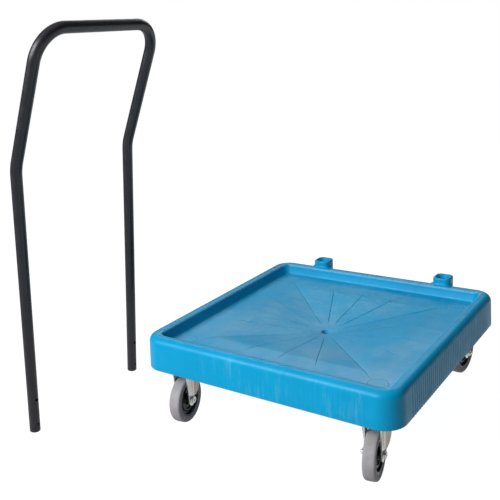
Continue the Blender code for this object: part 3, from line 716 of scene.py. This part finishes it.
# ---- materials ----------------------------------------------------------------------------
class Look:
    """A Principled material and short ways to add nodes to it."""

    def __init__(self, name, roughness, metallic=0.0):
        self.material = bpy.data.materials.new(name)
        self.material.use_nodes = True
        self.tree = self.material.node_tree
        self.shader = self.tree.nodes["Principled BSDF"]
        self.shader.inputs["Roughness"].default_value = roughness
        self.shader.inputs["Metallic"].default_value = metallic
        self.place = self.node("ShaderNodeTexCoord").outputs["Object"]

    def node(self, kind, **settings):
        made = self.tree.nodes.new(kind)
        for key, value in settings.items():
            setattr(made, key, value)
        return made

    def put(self, socket, value):
        if isinstance(value, bpy.types.NodeSocket):
            self.tree.links.new(value, socket)
        else:
            socket.default_value = value

    def math(self, operation, first, second=0.0):
        made = self.node("ShaderNodeMath", operation=operation)
        self.put(made.inputs[0], first)
        self.put(made.inputs[1], second)
        return made.outputs[0]

    def product(self, first, *others):
        for other in others:
            first = self.math("MULTIPLY", first, other)
        return first

    def length(self, x, y):
        return self.math("SQRT", self.math("ADD", self.product(x, x), self.product(y, y)))

    def parts(self):
        """X, Y and Z of the place."""
        made = self.node("ShaderNodeSeparateXYZ")
        self.put(made.inputs[0], self.place)
        return made.outputs

    def stretched(self, scale):
        made = self.node("ShaderNodeMapping")
        self.put(made.inputs["Vector"], self.place)
        made.inputs["Scale"].default_value = scale
        return made.outputs[0]

    def noise(self, scale, detail=3.0, rough=0.55, place=None):
        made = self.node("ShaderNodeTexNoise")
        self.put(made.inputs["Vector"], place or self.place)
        made.inputs["Scale"].default_value = scale
        made.inputs["Detail"].default_value = detail
        made.inputs["Roughness"].default_value = rough
        return made.outputs[0]

    def spread(self, value, low, high, to_low=0.0, to_high=1.0):
        made = self.node("ShaderNodeMapRange")
        self.put(made.inputs["Value"], value)
        for socket, number in zip(("From Min", "From Max", "To Min", "To Max"),
                                  (low, high, to_low, to_high)):
            made.inputs[socket].default_value = number
        return made.outputs[0]

    def mix(self, share, first, second):
        made = self.node("ShaderNodeMix", data_type="RGBA")
        self.put(made.inputs["Factor"], share)
        # the colour sockets go by number, because the other data types' share their names
        self.put(made.inputs[6], first)
        self.put(made.inputs[7], second)
        return made.outputs[2]

    def tint(self, colour, mask, share, target):
        """The colour moved towards the target, by the share where the mask is 1."""
        return self.mix(self.product(mask, share), colour, target)

    def edges(self, low, high):
        """1 on worn convex edges, 0 on flat faces."""
        pointed = self.node("ShaderNodeNewGeometry").outputs["Pointiness"]
        return self.spread(pointed, low, high)

    def bump(self, height, distance, strength=1.0, normal=None):
        made = self.node("ShaderNodeBump")
        self.put(made.inputs["Height"], height)
        made.inputs["Distance"].default_value = distance
        made.inputs["Strength"].default_value = strength
        if normal:
            self.put(made.inputs["Normal"], normal)
        return made.outputs[0]

    def finish(self, colour=None, roughness=None, normal=None):
        for name, value in (("Base Color", colour), ("Roughness", roughness), ("Normal", normal)):
            if value is not None:
                self.put(self.shader.inputs[name], value)
        return self.material


def blue_plastic():
    """Moulded polyethylene: clouded pigment, fine grain, pale scuffs, painted shade in the grooves.
    """
    look = Look("blue_polyethylene_moulded", 0.36)
    look.shader.inputs["Specular IOR Level"].default_value = 0.26
    look.shader.inputs["Specular Tint"].default_value = (0.62, 0.88, 1.0, 1)
    place_x, place_y, height = look.parts()
    from_x = look.math("SUBTRACT", place_x, DECK_X)
    from_y = look.math("SUBTRACT", place_y, DECK_Y)
    across = look.math("ABSOLUTE", from_x)
    deep = look.math("ABSOLUTE", from_y)
    level = look.math("MAXIMUM", across, deep)
    on_floor = look.spread(level, TRAY_HALF - 0.004, TRAY_HALF - 0.010)
    cloud = look.spread(look.noise(7.0, 4.0), 0.35, 0.65)
    colour = look.mix(cloud, (0.000, 0.325, 0.625, 1), (0.000, 0.370, 0.685, 1))
    mottle = look.spread(look.noise(85.0, 5.0, 0.65), 0.40, 0.70)
    colour = look.tint(colour, mottle, 0.30, (0.002, 0.430, 0.760, 1))
    # pale scuffs: crossed sweeps, stronger where racks slide over the floor
    sweeps = look.spread(look.noise(16.0, 7.0, 0.75, look.stretched((1.0, 3.0, 1.0))), 0.44, 0.72)
    crossed = look.spread(look.noise(19.0, 7.0, 0.75, look.stretched((3.2, 1.0, 1.0))), 0.48, 0.74)
    fine = look.spread(look.noise(330.0, 4.0, 0.7), 0.36, 0.70)
    patch = look.spread(look.noise(5.5, 3.0), 0.38, 0.60, 0.25, 1.0)
    scuff = look.product(look.math("MAXIMUM", sweeps, crossed), patch, fine)
    amount = look.spread(on_floor, 0.0, 1.0, 0.03, 0.60)
    colour = look.tint(colour, scuff, amount, (0.42, 0.62, 0.76, 1))
    # painted glare: the front of the floor made paler in patches, standing in for the sheen of light
    # there
    near = look.spread(from_y, 0.16, -0.20, 0.0, 0.26)
    colour = look.mix(look.product(on_floor, patch, near), colour, (0.50, 0.62, 0.72, 1))
    # pale runs down the outer faces
    runs = look.spread(look.noise(30.0, 6.0, 0.7, look.stretched((3.0, 3.0, 0.30))), 0.53, 0.72)
    runs = look.product(runs, look.spread(look.noise(4.2, 2.0), 0.46, 0.60),
                        look.spread(level, HALF - 0.010, HALF - 0.004),
                        look.spread(look.math("MINIMUM", across, deep), 0.235, 0.205))
    colour = look.tint(colour, runs, 0.24, (0.30, 0.66, 0.88, 1))
    # pale line along the rim's inner edge: partly frosted wear, partly a painted highlight of the
    # inner rounding
    edge = look.math("ABSOLUTE", look.math("SUBTRACT", level, TRAY_HALF + 0.0018))
    edge = look.product(look.spread(edge, 0.0032, 0.0004),
                        look.spread(height, RIM_Z - 0.006, RIM_Z - 0.002),
                        look.spread(look.noise(120.0, 5.0, 0.7), 0.35, 0.65, 0.25, 1.0))
    colour = look.tint(colour, edge, 0.55, PALE_WEAR_AND_HIGHLIGHT_BLUE)
    wear = look.product(look.edges(0.515, 0.56), look.spread(look.noise(55.0, 4.0), 0.35, 0.75))
    colour = look.tint(colour, wear, 0.30, (0.16, 0.52, 0.78, 1))
    # painted shade: the floor's grooves darkened along the rays
    radius = look.length(from_x, from_y)
    turn = look.math("PINGPONG", look.math("ARCTAN2", from_y, from_x), pi / RAYS)
    line = look.product(look.spread(look.product(radius, turn), 0.0013, 0.0003),
                        look.spread(radius, *GROOVE_START), look.spread(level, 0.196, 0.178),
                        look.spread(look.noise(24.0, 4.0), 0.35, 0.60, 0.30, 1.0))
    colour = look.tint(colour, line, 0.65, GROOVE_SHADE)
    # painted shade between the flutes of the sides
    wave = look.math("COSINE", look.product(from_y, 2 * pi / FLUTE_PITCH))
    flute_shade = look.math("POWER", look.spread(wave, 0.4, -1.0), 2.0)
    side = look.product(look.spread(across, HALF - 0.007, HALF - 0.0035),
                        look.spread(deep, FLUTE_REACH, FLUTE_REACH - 0.004),
                        look.spread(height, RIM_Z - 0.006, RIM_Z - 0.022))
    colour = look.tint(colour, look.product(flute_shade, side), 0.42, GROOVE_SHADE)
    roughness = look.spread(look.noise(40.0, 4.0), 0.3, 0.7, 0.29, 0.42)
    roughness = look.math("ADD", roughness, look.product(on_floor, 0.08))
    grain = look.bump(look.noise(900.0, 3.0, 0.6), 0.00014, 0.6)
    wavy = look.bump(look.noise(14.0, 2.0, 0.5), 0.0010, 0.35, grain)
    # shallow round marks over the caster mounts
    caster_x, caster_y = CASTER_PLACES[0]
    distance = look.length(look.math("SUBTRACT", across, abs(caster_x - DECK_X)),
                           look.math("SUBTRACT", deep, abs(caster_y - DECK_Y)))
    ring = look.math("ABSOLUTE", look.math("SUBTRACT", distance, 0.0190))
    ring = look.product(look.spread(ring, 0.0018, 0.0), on_floor)
    colour = look.tint(colour, ring, 0.22, PALE_WEAR_AND_HIGHLIGHT_BLUE)
    marks = look.bump(ring, -0.0009, 0.9, wavy)
    return look.finish(colour, roughness, marks)


def powder_coat():
    """Satin black powder coat with a fine pebble and a few dusty rubs."""
    look = Look("black_powder_coat_satin", 0.36)
    look.shader.inputs["Specular IOR Level"].default_value = 0.5
    cloud = look.spread(look.noise(30.0, 4.0), 0.35, 0.65)
    colour = look.mix(cloud, (0.0130, 0.0135, 0.0180, 1), (0.0185, 0.0190, 0.0245, 1))
    rub = look.spread(look.noise(120.0, 5.0, 0.7, look.stretched((1, 1, 0.25))), 0.60, 0.78)
    colour = look.tint(colour, rub, 0.25, (0.06, 0.06, 0.07, 1))
    wear = look.edges(0.56, 0.64)
    colour = look.tint(colour, wear, 0.4, (0.12, 0.12, 0.13, 1))
    roughness = look.spread(look.noise(60.0, 4.0), 0.3, 0.7, 0.30, 0.42)
    pebble = look.bump(look.noise(1500.0, 2.0, 0.5), 0.00008, 0.5)
    return look.finish(colour, roughness, pebble)


def zinc(name, flange_shade=False):
    """Bright zinc plate: rolled grain, warm stains. The fork's version has a painted reflection on
    its flanges: darker and warmer, for the shaded floor under the deck.
    """
    look = Look(name, 0.24, 0.72)
    cloud = look.spread(look.noise(45.0, 4.0), 0.35, 0.65)
    colour = look.mix(cloud, (0.78, 0.77, 0.73, 1), (0.88, 0.87, 0.85, 1))
    stain = look.spread(look.noise(22.0, 5.0, 0.6), 0.50, 0.66)
    colour = look.tint(colour, stain, 0.35, (0.58, 0.52, 0.44, 1))
    if flange_shade:
        # painted reflection: the flanges darker and warmer, standing in for the shaded floor under
        # the deck that they mirror
        out = look.math("ABSOLUTE", look.parts()[0])
        out = look.spread(out, FORK_HALF + 0.0003, FORK_HALF + 0.0020, 0.0, 0.85)
        colour = look.mix(out, colour, (0.40, 0.33, 0.26, 1))
    wear = look.edges(0.52, 0.60)
    colour = look.tint(colour, wear, 0.5, (0.90, 0.90, 0.89, 1))
    brushed = look.noise(240.0, 4.0, 0.6, look.stretched((1.0, 1.0, 0.06)))
    roughness = look.spread(brushed, 0.3, 0.7, 0.20, 0.34)
    scratch = look.bump(brushed, 0.00002, 0.4)
    return look.finish(colour, roughness, scratch)


def black_plastic():
    """Moulded black plastic: semi-gloss, with a fine grain and a little dust."""
    look = Look("black_plastic_moulded", 0.24)
    look.shader.inputs["Specular IOR Level"].default_value = 0.22
    cloud = look.spread(look.noise(90.0, 4.0), 0.35, 0.65)
    colour = look.mix(cloud, (0.010, 0.010, 0.013, 1), (0.018, 0.018, 0.021, 1))
    dust = look.spread(look.noise(420.0, 4.0, 0.7), 0.58, 0.75)
    colour = look.tint(colour, dust, 0.25, (0.10, 0.10, 0.10, 1))
    roughness = look.spread(look.noise(150.0, 3.0), 0.3, 0.7, 0.14, 0.28)
    grain = look.bump(look.noise(1200.0, 3.0, 0.5), 0.00006, 0.5)
    return look.finish(colour, roughness, grain)


def rubber():
    """Grey rubber: matt, slightly mottled, with scuffed edges."""
    look = Look("grey_rubber_matt", 0.62)
    look.shader.inputs["Specular IOR Level"].default_value = 0.35
    cloud = look.spread(look.noise(60.0, 5.0, 0.6), 0.35, 0.65)
    colour = look.mix(cloud, (0.355, 0.345, 0.362, 1), (0.420, 0.408, 0.425, 1))
    dirt = look.spread(look.noise(300.0, 5.0, 0.7), 0.55, 0.75)
    colour = look.tint(colour, dirt, 0.35, (0.22, 0.21, 0.21, 1))
    wear = look.edges(0.52, 0.60)
    colour = look.tint(colour, wear, 0.35, (0.40, 0.40, 0.40, 1))
    roughness = look.spread(look.noise(200.0, 3.0), 0.3, 0.7, 0.55, 0.72)
    grain = look.bump(look.noise(1400.0, 3.0, 0.6), 0.00010, 0.6)
    return look.finish(colour, roughness, grain)


# ---- build --------------------------------------------------------------------------------
def caster_frames():
    """Name prefix, pivot, turn, trail and axle height of each caster, from the joints."""
    joints = {joint["name"]: joint for joint in frame["joints"]}
    found = []
    for name, joint in joints.items():
        if not name.endswith("_swivel_turn"):
            continue
        prefix = name[:-len("swivel_turn")]
        wheel = joints[prefix + "wheel_spin"]
        pivot = Vector(joint["pos_m"])
        axle = Vector(wheel["pos_m"])
        turn = atan2(wheel["axis"][1], wheel["axis"][0])
        trail = (axle.xy - pivot.xy).length
        found.append((prefix, pivot, turn, trail, axle.z))
    return found


CASTER_FRAMES = caster_frames()
CASTER_PLACES = [(pivot.x, pivot.y) for _, pivot, _, _, _ in CASTER_FRAMES]

BLUE = blue_plastic()
COAT = powder_coat()
ZINC = zinc("zinc_plate_bright")
FLANGE_SHADED_ZINC = zinc("zinc_plate_folded", True)
PLASTIC = black_plastic()
RUBBER = rubber()


def add_piece(name, mesh, look, slot, body, *nodes, place=None):
    item = add_object(name, mesh, look)
    if place is not None:
        item.matrix_world = place
    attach(item, body)
    if nodes:
        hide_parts(*nodes)
    return item


def build_deck():
    bores = [cylinder(f"bore_{side}", SOCKET_BORE + 0.0010,
                      (DECK_X + side * SOCKET_X, DECK_Y + SOCKET_Y, SKIRT_Z - 0.02),
                      (DECK_X + side * SOCKET_X, DECK_Y + SOCKET_Y, SOCKET_TOP + 0.02), 40)
             for side in (-1, 1)]
    shell = cut("deck_shell", deck_shell(), bores)
    add_piece("deck_shell", shell, BLUE, "blue_polyethylene", "dolly", "tray_deck")
    for side, label in ((-1, "left"), (1, "right")):
        add_piece(f"deck_socket_{label}", socket_mesh(side), BLUE, "blue_polyethylene", "dolly")
    below = add_piece("deck_underside", joined("deck_underside", underside_meshes(CASTER_PLACES)),
                      BLUE, "blue_polyethylene", "dolly")
    bevel(below, 0.0008)


def build_handle():
    add_piece("handle_tube", handle_mesh(), COAT, "black_powder_coat", "handle", "push_handle")


def build_casters():
    hub = hub_mesh()
    tyre = tyre_mesh()
    bolt = bolt_mesh()
    nut = nut_mesh()
    trail, axle_z = CASTER_FRAMES[0][3:]
    fork = joined("fork_detail", fork_meshes(trail, axle_z))
    for prefix, pivot, turn, _, _ in CASTER_FRAMES:
        swivel = Matrix.Translation((pivot.x, pivot.y, 0)) @ Matrix.Rotation(turn, 4, "Z")
        axle = swivel @ Matrix.Translation((0, -trail, axle_z))
        swivel_body = prefix + "swivel"
        wheel_body = prefix + "wheel"
        item = add_piece(prefix + "fork_detail", fork, FLANGE_SHADED_ZINC, "zinc_plate", swivel_body,
                         prefix + "fork", place=swivel)
        bevel(item, 0.0005)
        add_piece(prefix + "bolt_detail", bolt, ZINC, "zinc_plate", swivel_body,
                  prefix + "axle_bolt", place=axle)
        add_piece(prefix + "nut_detail", nut, ZINC, "zinc_plate", swivel_body,
                  prefix + "axle_nut", place=axle)
        add_piece(prefix + "hub_detail", hub, PLASTIC, "black_plastic", wheel_body,
                  prefix + "wheel_hub", place=axle)
        add_piece(prefix + "tyre_detail", tyre, RUBBER, "grey_rubber", wheel_body,
                  prefix + "tyre", place=axle)
        # the other nodes stay as the CAD has them, with a bevel and this look
        kept = ["plate", "race", "kingpin", "axle_sleeve"] + [f"screw_{n}" for n in (1, 2, 3, 4)]
        for label in kept:
            node = frame["nodes"][prefix + label]
            for slot in node.material_slots:
                slot.material = ZINC
            bevel(node, 0.0004)


# ---- stage --------------------------------------------------------------------------------
def build_stage():
    bm = bmesh.new()
    bmesh.ops.create_grid(bm, x_segments=1, y_segments=1, size=FLOOR_SIZE)
    mesh = bpy.data.meshes.new("floor")
    bm.to_mesh(mesh)
    bm.free()
    look = Look("pale_floor", 0.9)
    look.shader.inputs["Specular IOR Level"].default_value = 0.0
    tone = look.spread(look.noise(2.0, 2.0), 0.3, 0.7)
    colour = look.mix(tone, (0.11, 0.11, 0.11, 1), (0.13, 0.13, 0.13, 1))
    look.shader.inputs["Emission Color"].default_value = (1, 1, 1, 1)
    path = look.node("ShaderNodeLightPath").outputs
    place_x, place_y, _ = look.parts()
    behind = look.math("ADD", look.product(place_x, 0.7), place_y)
    shine = look.product(look.spread(behind, -1.5, 0.5, 0.0, FLOOR_SHINE), path["Is Glossy Ray"])
    glow = look.spread(path["Is Camera Ray"], 0, 1, *FLOOR_GLOW)
    look.put(look.shader.inputs["Emission Strength"], look.math("ADD", glow, shine))
    floor = add_object("floor", mesh, look.finish(colour))


def area_light(name, place, target, size, power):
    data = bpy.data.lights.new(name, "AREA")
    data.shape = "RECTANGLE"
    data.size, data.size_y = size
    data.energy = power
    item = bpy.data.objects.new(name, data)
    bpy.context.scene.collection.objects.link(item)
    item.location = place
    item.rotation_euler = (Vector(target) - Vector(place)).to_track_quat("-Z", "Y").to_euler()
    item.visible_camera = False


def build_light():
    scene = bpy.context.scene
    scene.view_settings.view_transform = "Standard"
    scene.view_settings.look = "None"
    world = bpy.data.worlds.new("studio")
    scene.world = world
    world.use_nodes = True
    tree = world.node_tree
    back = tree.nodes["Background"]
    path = tree.nodes.new("ShaderNodeLightPath")
    mix = tree.nodes.new("ShaderNodeMix")
    mix.data_type = "FLOAT"
    tree.links.new(path.outputs["Is Camera Ray"], mix.inputs[0])
    mix.inputs[2].default_value, mix.inputs[3].default_value = SKY_GLOW
    tree.links.new(mix.outputs[0], back.inputs["Strength"])
    back.inputs["Color"].default_value = (1, 1, 1, 1)
    for light in LIGHTS:
        area_light(*light)


def build_camera():
    data = bpy.data.cameras.new("camera")
    data.sensor_width = SENSOR_WIDTH
    data.lens = LENS
    data.clip_end = 60
    item = bpy.data.objects.new("camera", data)
    bpy.context.scene.collection.objects.link(item)
    yaw, pitch, roll = CAMERA_TURN
    forward = Vector((-sin(yaw) * cos(pitch), cos(yaw) * cos(pitch), -sin(pitch)))
    right = Vector((cos(yaw), sin(yaw), 0))
    up = right.cross(forward)
    turned_right = right * cos(roll) + up * sin(roll)
    turned_up = up * cos(roll) - right * sin(roll)
    item.matrix_world = Matrix.Translation(CAMERA_PLACE) @ Matrix(
        (turned_right, turned_up, -forward)).transposed().to_4x4()
    bpy.context.scene.camera = item


build_deck()
build_handle()
build_casters()
build_stage()
build_light()
build_camera()
